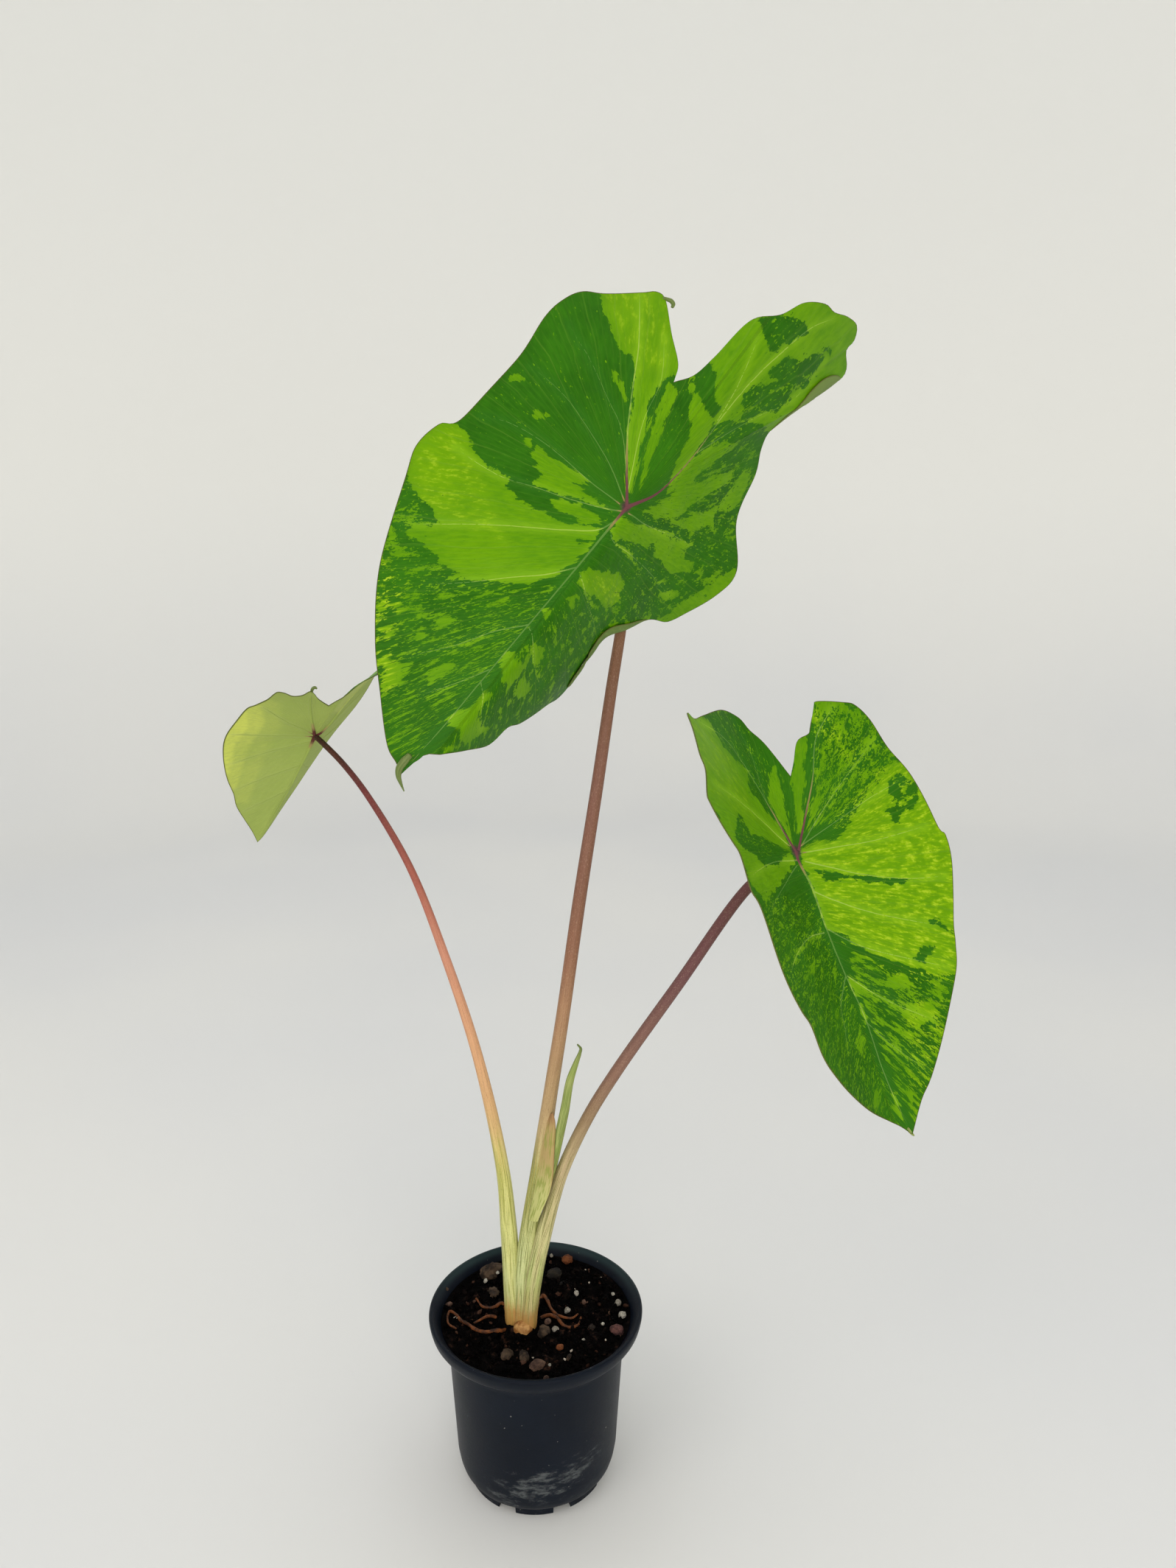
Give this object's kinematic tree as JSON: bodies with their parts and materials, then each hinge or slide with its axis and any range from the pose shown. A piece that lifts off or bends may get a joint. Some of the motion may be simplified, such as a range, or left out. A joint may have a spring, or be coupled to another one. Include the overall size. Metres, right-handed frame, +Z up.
{
  "type": "potted variegated colocasia",
  "caption": "Variegated elephant-ear plant with heart-shaped leaves on long stalks, a rolled new leaf and a corm with surface roots, in soil in a round plastic nursery pot.",
  "frame": {"origin": "middle of the pot's underside, on the surface that the pot stands on", "axes": "+Z up along the pot's axis, -Y towards the camera of the picture, +X to the right in it"},
  "size_m": [0.4799, 0.3124, 0.7575],
  "materials": {
    "pot": "moulded blue-black plastic, scuffed with pale soil",
    "soil": "damp, near-black potting mix",
    "corm": "orange-brown skin, fibrous",
    "petiole_tan": "satin, streaked, cream-green at the foot",
    "petiole_mauve": "satin, streaked, cream-green at the foot",
    "petiole_orange": "satin, dark red near the blade",
    "blade": "satin leaf, dark green and lime in sectors",
    "blade_under": "matte pale underside",
    "new_leaf": "satin, rolled",
    "bark": "weathered bark and pumice chips",
    "stone": "dull, dusty",
    "perlite": "chalky white"
  },
  "bodies": {
    "root": {"pot": "pot", "soil": "soil", "corm": "corm", "petiole_tall": "petiole_tan", "petiole_right": "petiole_mauve", "petiole_left": "petiole_orange", "blade_tall": "blade", "blade_right": "blade", "blade_left": "blade_under", "new_leaf": "new_leaf", "stone_bark": "bark", "stone_flat": "bark", "stone_orange": "stone", "stone_olive": "stone", "stone_red": "stone", "stone_front_left": "bark", "stone_front_middle": "bark", "stone_front_right": "bark", "stone_by_corm": "stone", "perlite_right": "perlite", "perlite_back": "perlite", "perlite_middle": "perlite", "perlite_front": "perlite"}
  },
  "joints": []
}
